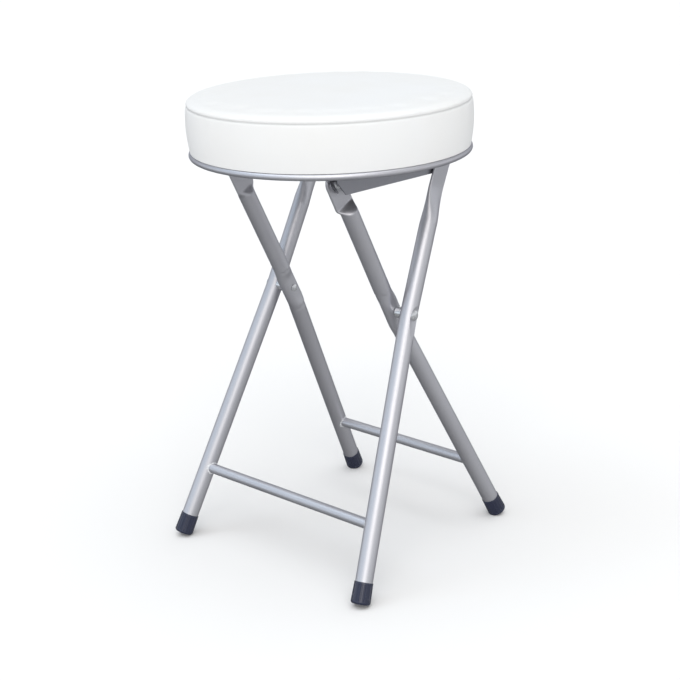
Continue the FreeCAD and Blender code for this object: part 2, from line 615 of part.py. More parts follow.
def make_pieces():
    """Every piece of the stool by name."""
    outer_leg, outer_outside = make_leg(OUTER, outer_leg_body, RIVET_RADIUS)
    inner_leg, inner_outside = make_leg(INNER, inner_leg_body, STUD_RADIUS)
    rail = make_rail()
    outer_cap = make_foot_cap(OUTER)
    inner_cap = make_foot_cap(INNER)
    outer_washer_x = OUTER_TOP_X - FLAT_HALF
    inner_washer_x = INNER_TOP_X + FLAT_HALF
    pivot_washer = ring(WASHER_DIAMETER, RIVET_RADIUS, outer_washer_x - WASHER_THICKNESS, outer_washer_x,
                        PIVOT_HALF, PIVOT_HEIGHT)
    stud_washer = ring(WASHER_DIAMETER, STUD_RADIUS, inner_washer_x, inner_washer_x + WASHER_THICKNESS,
                       -PIVOT_HALF, PIVOT_HEIGHT)
    return {
        "seat_cover_top": make_cover_top(),
        "seat_cover_band": make_cover_band(),
        "foam_pad": make_foam(),
        "seat_board": make_board(),
        "seat_pan": make_pan(),
        "pan_screws": make_screws(),
        "rail_right": rail,
        "rail_left": mirrored(rail),
        "rail_rivets": both_sides(make_rail_rivet()),
        "outer_leg_right": outer_leg,
        "outer_leg_left": mirrored(outer_leg),
        "front_crossbar": make_crossbar(OUTER, outer_outside),
        "foot_cap_front_right": outer_cap,
        "foot_cap_front_left": mirrored(outer_cap),
        "seat_pivot_rivets": both_sides(make_seat_pivot()),
        "seat_pivot_washers": both_sides(pivot_washer),
        "crossing_rivets": both_sides(make_crossing_rivet()),
        "crossing_spacers": both_sides(make_crossing_spacer(outer_outside)),
        "inner_leg_right": inner_leg,
        "inner_leg_left": mirrored(inner_leg),
        "rear_crossbar": make_crossbar(INNER, inner_outside),
        "foot_cap_rear_right": inner_cap,
        "foot_cap_rear_left": mirrored(inner_cap),
        "hook_studs": both_sides(make_hook_stud()),
        "stud_washers": both_sides(stud_washer),
    }


os.makedirs("parts", exist_ok=True)
for name, shape in make_pieces().items():
    shape.exportStep(os.path.join("parts", name + ".step"))
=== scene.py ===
"""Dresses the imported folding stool: padded seat, fluted foot caps, welds, finishes and the studio.

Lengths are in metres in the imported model's frame: +Z up, +X along the hinges, -Y the front.
"""

import json
import math

import bpy
from bpy.props import FloatProperty, FloatVectorProperty, IntProperty, PointerProperty
from mathutils import Matrix, Vector


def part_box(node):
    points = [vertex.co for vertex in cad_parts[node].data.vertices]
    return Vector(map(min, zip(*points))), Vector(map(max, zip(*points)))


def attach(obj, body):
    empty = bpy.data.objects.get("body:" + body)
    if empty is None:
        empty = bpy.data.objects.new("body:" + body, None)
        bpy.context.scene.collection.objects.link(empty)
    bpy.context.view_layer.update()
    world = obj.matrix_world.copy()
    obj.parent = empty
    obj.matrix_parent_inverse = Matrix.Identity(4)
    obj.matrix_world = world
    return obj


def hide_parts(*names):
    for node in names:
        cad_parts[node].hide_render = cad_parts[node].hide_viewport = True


bl_info = {
    "name": "Folding Stool",
    "version": (1, 0, 0),
    "blender": (4, 5, 0),
    "location": "3D View > Sidebar > Stool",
    "description": "Dresses the packed folding stool and sets up its studio",
    "category": "Object",
}

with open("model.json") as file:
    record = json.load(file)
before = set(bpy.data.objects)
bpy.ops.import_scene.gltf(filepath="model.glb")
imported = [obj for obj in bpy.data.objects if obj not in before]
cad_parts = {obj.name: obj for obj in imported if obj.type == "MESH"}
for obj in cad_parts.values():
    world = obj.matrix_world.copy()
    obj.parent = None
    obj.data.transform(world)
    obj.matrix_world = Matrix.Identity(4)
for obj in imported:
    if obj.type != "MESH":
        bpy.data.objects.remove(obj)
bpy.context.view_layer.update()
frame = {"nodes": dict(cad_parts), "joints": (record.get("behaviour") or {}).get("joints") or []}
TOP_LOW, TOP_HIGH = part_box("seat_cover_top")
BAND_LOW, BAND_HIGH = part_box("seat_cover_band")
SEAT_Y = (TOP_LOW.y + TOP_HIGH.y) / 2
SEAM_RADIUS = (TOP_HIGH.x - TOP_LOW.x) / 2
HINGES = {joint["name"]: Vector(joint["pos_m"]) for joint in frame["joints"]}
CROSSING = HINGES["leg_fold"]
SEAT_HINGE = HINGES["seat_fold"]

SILVER_NODES = ["seat_pan", "outer_leg_left", "outer_leg_right", "inner_leg_left",
                "inner_leg_right", "front_crossbar", "rear_crossbar"]
# The rails get a darker copy of the silver paint: painted shade of the seat above them
RAIL_NODES = ["rail_left", "rail_right"]
ZINC_NODES = ["pan_screws", "rail_rivets", "seat_pivot_rivets", "seat_pivot_washers",
              "crossing_rivets", "crossing_spacers", "hook_studs", "stud_washers"]

# Points that lie closer than this are one point
TINY = 1e-6
SEED_SIZE = 0.001

# Pad before it swells: spin steps, points of each curve and degrees above the seam
PAD_STEPS = 96
BAND_STEPS = 8
EDGE_STEPS = 6
EDGE_START = 12
CROWN_STEPS = 8

# Pad as cloth: what is held, how it is blown up and how much of the movement is kept
VOXEL_SIZE = 0.004
FOOT_HELD = 0.003
SEAM_HELD_RUN = 0.004
SEAM_HELD_RISE = 0.0035
ROLL_RUN = 0.02
PRESSURE = 4.0
STRETCH_STIFFNESS = 40.0
BEND_STIFFNESS = 4.0
SWELL_FRAMES = 20
LEAST_SWELL = -0.0001
MOST_SWELL = 0.0016
SMOOTH_FACTOR = 0.5
SMOOTH_ROUNDS = 2
FOOT_CUT = 0.0002

# Sewn seam: cuts above and below it, and levels counted in groove widths
SEAM_CUTS = (-0.0032, -0.0016, -0.0008, 0.0, 0.0008, 0.0016, 0.0032)
SEAM_MERGE = 0.0001
GROOVE_WIDTH = 0.0011
SEAM_REACH = 18
RIM_SHARE = 0.9
GROOVE_EVEN, GROOVE_UNEVEN = 0.85, 0.15
EDGE_PROUD, EDGE_LEVEL, EDGE_SPAN = 0.0007, 2.6, 1.5

# Gathers beside the seam: how many go round, their shares and how they drift
BROAD_GATHERS, BROAD_SHARE = 29, 0.6
FINE_GATHERS, FINE_SHARE, FINE_START = 47, 0.4, 1.7
GATHER_SWAYS, GATHER_SWAY = 3, 2
GATHER_SPAN = 8

# Foot caps: play round the tube, sole, the side between its eased ends, and the flutes
CAP_PLAY = 0.00005
CAP_SOLE = 0.003
CAP_EDGE_STEPS = 5
SIDE_START = 0.0012
SIDE_STOP = 0.0022
SIDE_EASE = 0.00004
MOUTH_EDGE = 0.0003
FLUTE_INSET = 0.0003
STEPS_PER_FLUTE = 4

# Weld beads: shares of a bead's radius, steps, and the ripples round it
WELD_STANDOFF = 0.3
WELD_SINK = 0.6
WELD_STEPS, BEAD_STEPS = 56, 10
RIPPLES, RIPPLE_DEPTH = 13, 0.22
WANDERS, WANDER_DEPTH = 5, 0.1

# Vinyl and caps: distances from the seam and height above the floor
SEAM_SHADOW = (0.0003, 0.0013)
GATHER_FADE = (0.002, 0.016)
SCUFF_HEIGHT = (0.0, 0.009)

FLOOR_SIZE = 60.0
SENSOR_WIDTH = 36.0
LIGHT_DISTANCE = 3.0
# Name, degrees from the front towards +X, degrees up, degrees of spread, strength, colour,
# and whether the light falls on everything or shows in reflections only
LIGHTS = (
    ("sky_light", 30.0, 78.0, 70.0, 1.6, (0.95, 0.98, 1.0), True),
    ("key_light", 42.0, 32.0, 46.0, 0.9, (1.0, 0.965, 0.91), True),
    ("window_light", -45.0, 52.0, 26.0, 0.2, (0.7, 0.85, 1.0), True),
    ("sheen_light", -32.0, 30.0, 80.0, 0.34, (0.4, 0.7, 1.0), False),
)
# Air: a glow round the horizon, over strengths that rise towards the upper right
AIR_COLOR = (0.95, 0.975, 1.0, 1.0)
AIR_RISE, AIR_SPAN, AIR_STRENGTHS = (0.5, 0.0, 0.85), (-1.0, 0.3), (0.18, 0.56)
GLOW_STRENGTH = 0.96
GLOW_FOOT, GLOW_TOP = (-0.1, -0.04), (0.22, 0.42)


class StoolSeatSettings(bpy.types.PropertyGroup):
    """Padded seat."""

    seam_radius: FloatProperty(
        name="Seam Radius", description="Radius at the seam between top and band",
        default=SEAM_RADIUS, unit="LENGTH")
    seam_height: FloatProperty(
        name="Seam Height", description="Height of the seam above the floor",
        default=BAND_HIGH.z, unit="LENGTH")
    foot_height: FloatProperty(
        name="Foot Height", description="Height of the pan that the band stands on",
        default=BAND_LOW.z, unit="LENGTH")
    crown_height: FloatProperty(
        name="Crown Height", description="Height of the middle of the seat",
        default=TOP_HIGH.z, unit="LENGTH")
    band_swell: FloatProperty(
        name="Band Swell", description="How far the side band stands out past the seam",
        default=0.0012, unit="LENGTH")
    band_tuck: FloatProperty(
        name="Band Tuck", description="How far the side band draws in at the rim",
        default=0.0018, unit="LENGTH")
    edge_run: FloatProperty(
        name="Edge Run", description="Width of the rolled edge of the top panel",
        default=0.008, unit="LENGTH")
    edge_rise: FloatProperty(
        name="Edge Rise", description="Height of the rolled edge of the top panel",
        default=0.0075, unit="LENGTH")
    slack: FloatProperty(
        name="Slack", description="How much lower the pad's top starts before it swells",
        default=0.0014, unit="LENGTH")
    foot_spare: FloatProperty(
        name="Foot Spare", description="Length of band that is trimmed off at the pan",
        default=0.008, unit="LENGTH")
    seam_depth: FloatProperty(
        name="Seam Depth", description="Depth of the sewn groove",
        default=0.001, unit="LENGTH")
    gather_depth: FloatProperty(
        name="Gather Depth", description="Height of the small gathers beside the seam",
        default=0.0003, unit="LENGTH")
    vinyl_color: FloatVectorProperty(
        name="Vinyl", description="White vinyl",
        subtype="COLOR", size=4, default=(0.76, 0.762, 0.765, 1.0))
    vinyl_shade_color: FloatVectorProperty(
        name="Vinyl Shade", description="Vinyl in its faint clouds",
        subtype="COLOR", size=4, default=(0.75, 0.745, 0.736, 1.0))
    # Painted shadow for the sewn groove
    seam_shadow_color: FloatVectorProperty(
        name="Seam", description="Shadowed vinyl in the sewn groove",
        subtype="COLOR", size=4, default=(0.6, 0.6, 0.6, 1.0))


class StoolLegSettings(bpy.types.PropertyGroup):
    """Lower legs, their caps and crossbars, and the finishes of the metal and the caps."""

    outer_spread: FloatProperty(
        name="Outer Spread", description="Outer leg's axis at the crossing",
        default=0.0955, unit="LENGTH")
    inner_spread: FloatProperty(
        name="Inner Spread", description="Inner leg's axis at the crossing",
        default=0.0718, unit="LENGTH")
    splay: FloatProperty(
        name="Splay", description="How far a foot stands outside its crossing",
        default=0.0365, unit="LENGTH")
    tube_radius: FloatProperty(
        name="Tube Radius", description="Radius of the leg tubes",
        default=0.009, unit="LENGTH")
    bar_radius: FloatProperty(
        name="Bar Radius", description="Radius of the crossbars",
        default=0.0055, unit="LENGTH")
    bar_height: FloatProperty(
        name="Bar Height", description="Crossbars above the floor",
        default=0.0735, unit="LENGTH")
    cap_length: FloatProperty(
        name="Cap Length", description="Length of a foot cap",
        default=0.0224, unit="LENGTH")
    cap_mouth: FloatProperty(
        name="Cap Mouth", description="Outer radius at the cap's mouth",
        default=0.00965, unit="LENGTH")
    cap_foot: FloatProperty(
        name="Cap Foot", description="Outer radius at the cap's foot",
        default=0.01015, unit="LENGTH")
    cap_edge: FloatProperty(
        name="Cap Edge", description="Rounding of the cap's foot",
        default=0.0025, unit="LENGTH")
    cap_sink: FloatProperty(
        name="Cap Sink", description="Depth worn flat where a cap meets the floor",
        default=0.0006, unit="LENGTH")
    flutes: IntProperty(
        name="Flutes", description="Flutes round a cap", default=18)
    flute_depth: FloatProperty(
        name="Flute Depth", description="Depth of a cap's flutes",
        default=0.0004, unit="LENGTH")
    weld_radius: FloatProperty(
        name="Weld Radius", description="Half the width of a weld bead",
        default=0.0013, unit="LENGTH")
    silver_color: FloatVectorProperty(
        name="Silver", description="Silver paint",
        subtype="COLOR", size=4, default=(0.55, 0.545, 0.58, 1.0))
    silver_light_color: FloatVectorProperty(
        name="Silver Flake", description="Brighter flakes in the silver paint",
        subtype="COLOR", size=4, default=(0.65, 0.65, 0.68, 1.0))
    # Darker copy of the silver for the rails: painted shade of the seat above them
    rail_shaded_color: FloatVectorProperty(
        name="Rail", description="Silver paint of the rails",
        subtype="COLOR", size=4, default=(0.33, 0.33, 0.36, 1.0))
    rail_shaded_flake_color: FloatVectorProperty(
        name="Rail Flake", description="Brighter flakes in the rails' paint",
        subtype="COLOR", size=4, default=(0.4, 0.4, 0.43, 1.0))
    zinc_color: FloatVectorProperty(
        name="Zinc", description="Zinc plated rivets",
        subtype="COLOR", size=4, default=(0.76, 0.765, 0.78, 1.0))
    zinc_dull_color: FloatVectorProperty(
        name="Dull Zinc", description="Duller patches on the zinc",
        subtype="COLOR", size=4, default=(0.58, 0.585, 0.6, 1.0))
    cap_color: FloatVectorProperty(
        name="Cap", description="Cap plastic",
        subtype="COLOR", size=4, default=(0.019, 0.023, 0.048, 1.0))
    cap_scuff_color: FloatVectorProperty(
        name="Cap Scuff", description="Scuffed cap plastic",
        subtype="COLOR", size=4, default=(0.05, 0.055, 0.085, 1.0))


class StoolBoardSettings(bpy.types.PropertyGroup):
    """Board inside the seat."""

    wood_color: FloatVectorProperty(
        name="Wood", description="Board between its grain lines",
        subtype="COLOR", size=4, default=(0.55, 0.38, 0.22, 1.0))
    grain_color: FloatVectorProperty(
        name="Grain", description="Grain lines of the board",
        subtype="COLOR", size=4, default=(0.33, 0.2, 0.1, 1.0))


class StoolStageSettings(bpy.types.PropertyGroup):
    """Floor and camera."""

    floor_color: FloatVectorProperty(
        name="Floor", description="Pale studio floor",
        subtype="COLOR", size=4, default=(0.85, 0.838, 0.83, 1.0))
    floor_shade_color: FloatVectorProperty(
        name="Floor Shade", description="Floor in its faint clouds",
        subtype="COLOR", size=4, default=(0.835, 0.824, 0.817, 1.0))
    camera_place: FloatVectorProperty(
        name="Camera", description="Where the camera stands",
        subtype="XYZ", size=3, unit="LENGTH", default=(1.01316, -1.08982, 0.72057))
    camera_target: FloatVectorProperty(
        name="Target", description="What the camera looks at",
        subtype="XYZ", size=3, unit="LENGTH", default=(0.00084, 0.0, 0.22179))
    camera_roll: FloatProperty(
        name="Roll", description="Camera's roll",
        default=math.radians(-2.02), subtype="ANGLE")
    camera_lens: FloatProperty(
        name="Lens", description="Focal length in millimetres", default=77.72)


# Selecting and shaping

def deselect_all():
    if bpy.context.object and bpy.context.object.mode != "OBJECT":
        bpy.ops.object.mode_set(mode="OBJECT")
    bpy.ops.object.select_all(action="DESELECT")


def spun_piece(name, outline, steps):
    """Piece spun about the Z axis through the origin, from (radius, height) points."""
    deselect_all()
    bpy.ops.mesh.primitive_plane_add(size=SEED_SIZE)
    piece = bpy.context.object
    piece.name = name
    piece.data.name = name
    bpy.ops.object.mode_set(mode="EDIT")
    bpy.ops.mesh.select_all(action="SELECT")
    bpy.ops.mesh.merge(type="CENTER")
    here = Vector((outline[0][0], 0, outline[0][1]))
    bpy.ops.transform.translate(value=here)
    for radius, height in outline[1:]:
        there = Vector((radius, 0, height))
        bpy.ops.mesh.extrude_region_move(TRANSFORM_OT_translate={"value": there - here})
        here = there
    bpy.ops.mesh.select_all(action="SELECT")
    bpy.ops.mesh.spin(steps=steps, angle=math.tau, center=(0, 0, 0), axis=(0, 0, 1))
    bpy.ops.mesh.select_all(action="SELECT")
    bpy.ops.mesh.remove_doubles(threshold=TINY)
    bpy.ops.mesh.normals_make_consistent(inside=False)
    bpy.ops.object.mode_set(mode="OBJECT")
    return piece


def arc_points(centre, run, rise, degrees_from, degrees_to, count):
    """Points of an elliptic arc as (radius, height)."""
    points = []
    for index in range(count + 1):
        turn = math.radians(degrees_from + (degrees_to - degrees_from) * index / count)
        points.append((centre[0] + run * math.cos(turn), centre[1] + rise * math.sin(turn)))
    return points


def finish_piece(piece, body, material, angle):
    """Smooth shading, material and body of a finished piece."""
    deselect_all()
    piece.select_set(True)
    bpy.context.view_layer.objects.active = piece
    bpy.ops.object.shade_smooth_by_angle(angle=math.radians(angle))
    piece.data.materials.clear()
    piece.data.materials.append(material)
    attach(piece, body)


# Materials

def shader_group(name, inputs, outputs):
    """Empty shader group with float or vector inputs and float outputs."""
    group = bpy.data.node_groups.new(name, "ShaderNodeTree")
    for title, kind, value in inputs:
        socket = group.interface.new_socket(name=title, in_out="INPUT", socket_type=kind)
        if value is not None:
            socket.default_value = value
    for title in outputs:
        group.interface.new_socket(name=title, in_out="OUTPUT", socket_type="NodeSocketFloat")
    return group, group.nodes.new("NodeGroupInput"), group.nodes.new("NodeGroupOutput")


def fine_texture_group():
    """Fine height, broad clouds and sparse marks for a painted, plated or moulded surface."""
    name = "Fine Texture"
    if name in bpy.data.node_groups:
        return bpy.data.node_groups[name]
    group, given, result = shader_group(
        name, [("Vector", "NodeSocketVector", None), ("Fine Scale", "NodeSocketFloat", 900.0),
               ("Cloud Scale", "NodeSocketFloat", 14.0), ("Mark Scale", "NodeSocketFloat", 120.0)],
        ["Height", "Clouds", "Marks"])
    for title, scale, detail in (("Height", "Fine Scale", 3.0), ("Clouds", "Cloud Scale", 4.0)):
        noise = group.nodes.new("ShaderNodeTexNoise")
        noise.inputs["Detail"].default_value = detail
        group.links.new(given.outputs["Vector"], noise.inputs["Vector"])
        group.links.new(given.outputs[scale], noise.inputs["Scale"])
        group.links.new(noise.outputs["Fac"], result.inputs[title])
    specks = group.nodes.new("ShaderNodeTexNoise")
    specks.inputs["Detail"].default_value = 5.0
    specks.inputs["Roughness"].default_value = 0.65
    cut = group.nodes.new("ShaderNodeMapRange")
    cut.inputs["From Min"].default_value = 0.62
    cut.inputs["From Max"].default_value = 0.74
    group.links.new(given.outputs["Vector"], specks.inputs["Vector"])
    group.links.new(given.outputs["Mark Scale"], specks.inputs["Scale"])
    group.links.new(specks.outputs["Fac"], cut.inputs["Value"])
    group.links.new(cut.outputs["Result"], result.inputs["Marks"])
    return group


class Finish:
    """A material under construction, with short ways to add its nodes."""

    def __init__(self, name):
        self.material = bpy.data.materials.new(name)
        self.material.use_nodes = True
        self.nodes = self.material.node_tree.nodes
        self.links = self.material.node_tree.links
        self.shader = self.nodes["Principled BSDF"]
        self.place = self.nodes.new("ShaderNodeTexCoord").outputs["Object"]

    def add(self, kind, values=(), sources=()):
        node = self.nodes.new(kind)
        for title, value in values:
            node.inputs[title].default_value = value
        for title, source in sources:
            self.links.new(source, node.inputs[title])
        return node

    def constants(self, **values):
        for title, value in values.items():
            self.shader.inputs[title.replace("_", " ")].default_value = value

    def texture(self, fine, cloud, mark):
        """Outputs of the fine texture at three scales."""
        node = self.nodes.new("ShaderNodeGroup")
        node.node_tree = fine_texture_group()
        for title, value in (("Fine Scale", fine), ("Cloud Scale", cloud), ("Mark Scale", mark)):
            node.inputs[title].default_value = value
        self.links.new(self.place, node.inputs["Vector"])
        return node.outputs

    def spread(self, source, span, into):
        """Value that goes from one end of into to the other as the source crosses the span."""
        node = self.add("ShaderNodeMapRange",
                        [("From Min", span[0]), ("From Max", span[1]),
                         ("To Min", into[0]), ("To Max", into[1])], [("Value", source)])
        return node.outputs["Result"]

    def blend(self, share, first, second):
        """Mix of two colours, each a constant or another node's colour."""
        node = self.nodes.new("ShaderNodeMix")
        node.data_type = "RGBA"
        self.links.new(share, node.inputs["Factor"])
        sockets = [socket for socket in node.inputs if socket.type == "RGBA"]
        for socket, value in zip(sockets, (first, second)):
            if isinstance(value, bpy.types.NodeSocket):
                self.links.new(value, socket)
            else:
                socket.default_value = value
        return [socket for socket in node.outputs if socket.type == "RGBA"][0]

    def feed(self, title, source):
        self.links.new(source, self.shader.inputs[title])

    def bump(self, height, strength, distance, under=None):
        node = self.add("ShaderNodeBump", [("Strength", strength), ("Distance", distance)],
                        [("Height", height)])
        if under is not None:
            self.links.new(under, node.inputs["Normal"])
        return node.outputs["Normal"]


def vinyl_finish(seat):
    """White vinyl: fine grain, faint clouds, a painted shadow along the seam, with gathers on both
    sides of it.
    """
    finish = Finish("white_vinyl")
    texture = finish.texture(fine=1500.0, cloud=9.0, mark=60.0)
    apart = finish.add("ShaderNodeSeparateXYZ", [], [("Vector", finish.place)])
    from_seam = finish.add("ShaderNodeMath", [(1, seat.seam_height)], [(0, apart.outputs["Z"])])
    from_seam.operation = "SUBTRACT"
    distance = finish.add("ShaderNodeMath", [], [(0, from_seam.outputs[0])])
    distance.operation = "ABSOLUTE"
    # Painted shade: the vinyl darkens towards the seam line, over the groove that sew_seam presses
    # in
    groove = finish.spread(distance.outputs[0], SEAM_SHADOW, (1.0, 0.0))
    clouds = finish.blend(finish.spread(texture["Clouds"], (0.35, 0.65), (0.0, 1.0)),
                          tuple(seat.vinyl_color), tuple(seat.vinyl_shade_color))
    finish.feed("Base Color", finish.blend(groove, clouds, tuple(seat.seam_shadow_color)))
    finish.feed("Roughness", finish.spread(texture["Clouds"], (0.3, 0.7), (0.38, 0.5)))
    pores = finish.add("ShaderNodeTexVoronoi", [("Scale", 1100.0)], [("Vector", finish.place)])
    grain = finish.bump(pores.outputs["Distance"], strength=0.12, distance=0.0002)
    stretched = finish.add("ShaderNodeMapping", [("Scale", (1.0, 1.0, 0.25))],
                           [("Vector", finish.place)])
    gathers = finish.add("ShaderNodeTexNoise", [("Scale", 70.0), ("Detail", 1.0)],
                         [("Vector", stretched.outputs["Vector"])])
    near = finish.spread(distance.outputs[0], GATHER_FADE, (1.0, 0.0))
    gathered = finish.add("ShaderNodeMath", [], [(0, gathers.outputs["Fac"]), (1, near)])
    gathered.operation = "MULTIPLY"
    finish.feed("Normal", finish.bump(gathered.outputs[0], strength=0.25, distance=0.0016,
                                      under=grain))
    finish.constants(IOR=1.45, Specular_IOR_Level=0.2)
    return finish.material


def silver_finish(name, base, flake):
    """Satin silver paint: fine flakes, faint clouds, orange peel, and grazing edges darkened as
    painted shade.
    """
    finish = Finish(name)
    texture = finish.texture(fine=420.0, cloud=11.0, mark=90.0)
    flakes = finish.add("ShaderNodeTexNoise", [("Scale", 2600.0), ("Detail", 1.0)],
                        [("Vector", finish.place)])
    flaked = finish.blend(finish.spread(flakes.outputs["Fac"], (0.45, 0.75), (0.0, 1.0)),
                          tuple(base), tuple(flake))
    clouds = finish.spread(texture["Clouds"], (0.4, 0.8), (0.0, 0.35))
    finish.feed("Base Color", finish.blend(clouds, flaked, tuple(flake)))
    finish.feed("Roughness", finish.spread(texture["Clouds"], (0.3, 0.7), (0.4, 0.48)))
    finish.feed("Normal", finish.bump(texture["Height"], strength=0.05, distance=0.0004))
    # The grey specular tint darkens the grazing edges: painted shade for dark surroundings in
    # reflection
    finish.constants(Metallic=0.9, Specular_Tint=(0.25, 0.25, 0.3, 1.0))
    return finish.material


def zinc_finish(legs):
    """Zinc plate: dull clouds and fine tumbling marks."""
    finish = Finish("zinc_plate")
    texture = finish.texture(fine=1300.0, cloud=90.0, mark=500.0)
    clouds = finish.spread(texture["Clouds"], (0.35, 0.7), (0.0, 1.0))
    finish.feed("Base Color", finish.blend(clouds, tuple(legs.zinc_color),
                                           tuple(legs.zinc_dull_color)))
    finish.feed("Roughness", finish.spread(texture["Marks"], (0.0, 1.0), (0.27, 0.45)))
    finish.feed("Normal", finish.bump(texture["Height"], strength=0.06, distance=0.0002))
    finish.constants(Metallic=0.9)
    return finish.material


def cap_finish(legs):
    """Moulded plastic: fine spark texture, scuffed a little paler towards the floor."""
    finish = Finish("cap_plastic")
    texture = finish.texture(fine=1800.0, cloud=60.0, mark=260.0)
    apart = finish.add("ShaderNodeSeparateXYZ", [], [("Vector", finish.place)])
    low = finish.spread(apart.outputs["Z"], SCUFF_HEIGHT, (0.5, 0.05))
    scuffs = finish.add("ShaderNodeMath", [], [(0, low), (1, texture["Marks"])])
    scuffs.operation = "MULTIPLY"
    finish.feed("Base Color", finish.blend(scuffs.outputs[0], tuple(legs.cap_color),
                                           tuple(legs.cap_scuff_color)))
    finish.feed("Roughness", finish.spread(texture["Clouds"], (0.3, 0.7), (0.2, 0.3)))
    finish.feed("Normal", finish.bump(texture["Height"], strength=0.1, distance=0.0002))
    return finish.material


def board_finish(board):
    """Plywood: drawn-out grain along the board."""
    finish = Finish("seat_board_wood")
    drawn = finish.add("ShaderNodeMapping", [("Scale", (4.0, 60.0, 30.0))],
                       [("Vector", finish.place)])
    grain = finish.add("ShaderNodeTexNoise",
                       [("Scale", 3.0), ("Detail", 6.0), ("Distortion", 0.6)],
                       [("Vector", drawn.outputs["Vector"])])
    share = finish.spread(grain.outputs["Fac"], (0.35, 0.7), (0.0, 1.0))
    finish.feed("Base Color", finish.blend(share, tuple(board.wood_color),
                                           tuple(board.grain_color)))
    finish.feed("Roughness", finish.spread(grain.outputs["Fac"], (0.3, 0.7), (0.55, 0.75)))
    finish.feed("Normal", finish.bump(grain.outputs["Fac"], strength=0.2, distance=0.0004))
    return finish.material


def floor_finish(stage):
    """Matt pale floor with faint clouds."""
    finish = Finish("studio_floor")
    clouds = finish.add("ShaderNodeTexNoise", [("Scale", 0.8)], [("Vector", finish.place)])
    share = finish.spread(clouds.outputs["Fac"], (0.3, 0.7), (0.0, 0.15))
    finish.feed("Base Color", finish.blend(share, tuple(stage.floor_color),
                                           tuple(stage.floor_shade_color)))
    finish.constants(Roughness=0.9)
    return finish.material


def dress(nodes, material):
    """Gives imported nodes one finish."""
    for node in nodes:
        piece = frame["nodes"][node]
        piece.data.materials.clear()
        piece.data.materials.append(material)


# Padded seat

def pad_outline(seat):
    """Outline of the pad before it swells, from the middle underneath to the middle on top."""
    foot = seat.seam_radius - seat.band_tuck
    under = seat.foot_height - seat.foot_spare
    swell = seat.seam_radius + seat.band_swell
    points = [(0.0, under), (foot / 2, under), (foot, under), (foot, seat.foot_height)]
    lift = 2 * swell - (foot + seat.seam_radius) / 2
    band = seat.seam_height - seat.foot_height
    for index in range(1, BAND_STEPS + 1):
        share = index / BAND_STEPS
        radius = ((1 - share) ** 2 * foot + 2 * share * (1 - share) * lift
                  + share ** 2 * seat.seam_radius)
        points.append((radius, seat.foot_height + band * share))
    edge = seat.seam_radius - seat.edge_run
    edge_top = seat.seam_height + seat.edge_rise
    points += arc_points((edge, seat.seam_height), seat.edge_run, seat.edge_rise,
                         EDGE_START, 90, EDGE_STEPS)
    crown = seat.crown_height - seat.slack - edge_top
    for index in range(1, CROWN_STEPS + 1):
        radius = edge * (1 - index / CROWN_STEPS)
        points.append((radius, edge_top + crown * (1 - (radius / edge) ** 2)))
    return points


def swell_pad(piece, seat):
    """Blows the pad up a little as cloth under pressure, held at its foot and along the seam."""
    remesh = piece.modifiers.new("even_mesh", "REMESH")
    remesh.mode = "VOXEL"
    remesh.voxel_size = VOXEL_SIZE
    bpy.ops.object.modifier_apply(modifier=remesh.name)
    held = piece.vertex_groups.new(name="held")
    even = piece.vertex_groups.new(name="even")
    for vertex in piece.data.vertices:
        radius = math.hypot(vertex.co.x, vertex.co.y)
        from_seam = abs(vertex.co.z - seat.seam_height)
        at_foot = vertex.co.z < seat.foot_height + FOOT_HELD
        at_seam = radius > seat.seam_radius - SEAM_HELD_RUN and from_seam < SEAM_HELD_RISE
        if at_foot or at_seam:
            held.add([vertex.index], 1.0, "ADD")
        elif vertex.co.z < seat.seam_height or radius < seat.seam_radius - ROLL_RUN:
            even.add([vertex.index], 1.0, "ADD")
    rest = [(vertex.co.copy(), vertex.normal.copy()) for vertex in piece.data.vertices]
    cloth = piece.modifiers.new("swell", "CLOTH")
    cloth.settings.vertex_group_mass = "held"
    cloth.settings.use_pressure = True
    cloth.settings.uniform_pressure_force = PRESSURE
    cloth.settings.effector_weights.gravity = 0.0
    cloth.settings.tension_stiffness = STRETCH_STIFFNESS
    cloth.settings.compression_stiffness = STRETCH_STIFFNESS
    cloth.settings.bending_stiffness = BEND_STIFFNESS
    for moment in range(1, SWELL_FRAMES + 1):
        bpy.context.scene.frame_set(moment)
    bpy.ops.object.modifier_apply(modifier=cloth.name)
    bpy.context.scene.frame_set(1)
    # Only the movement along the surface's own direction is kept, within its limits
    for vertex, (place, normal) in zip(piece.data.vertices, rest):
        out = (vertex.co - place).dot(normal)
        vertex.co = place + normal * max(LEAST_SWELL, min(out, MOST_SWELL))
    smooth = piece.modifiers.new("even_skin", "SMOOTH")
    smooth.factor = SMOOTH_FACTOR
    smooth.iterations = SMOOTH_ROUNDS
    smooth.vertex_group = "even"
    bpy.ops.object.modifier_apply(modifier=smooth.name)


def trim_foot(seat):
    """Cuts the band off just above the pan."""
    bpy.ops.object.mode_set(mode="EDIT")
    bpy.ops.mesh.select_all(action="SELECT")
    bpy.ops.mesh.bisect(plane_co=(0, 0, seat.foot_height + FOOT_CUT), plane_no=(0, 0, 1),
                        clear_inner=True, use_fill=True)
    bpy.ops.object.mode_set(mode="OBJECT")


def gather_height(turn):
    """Uneven gathers round the seam, from -1 to 1."""
    sway = GATHER_SWAY * math.sin(GATHER_SWAYS * turn)
    broad = BROAD_SHARE * math.sin(BROAD_GATHERS * turn + sway)
    return broad + FINE_SHARE * math.sin(FINE_GATHERS * turn + FINE_START)


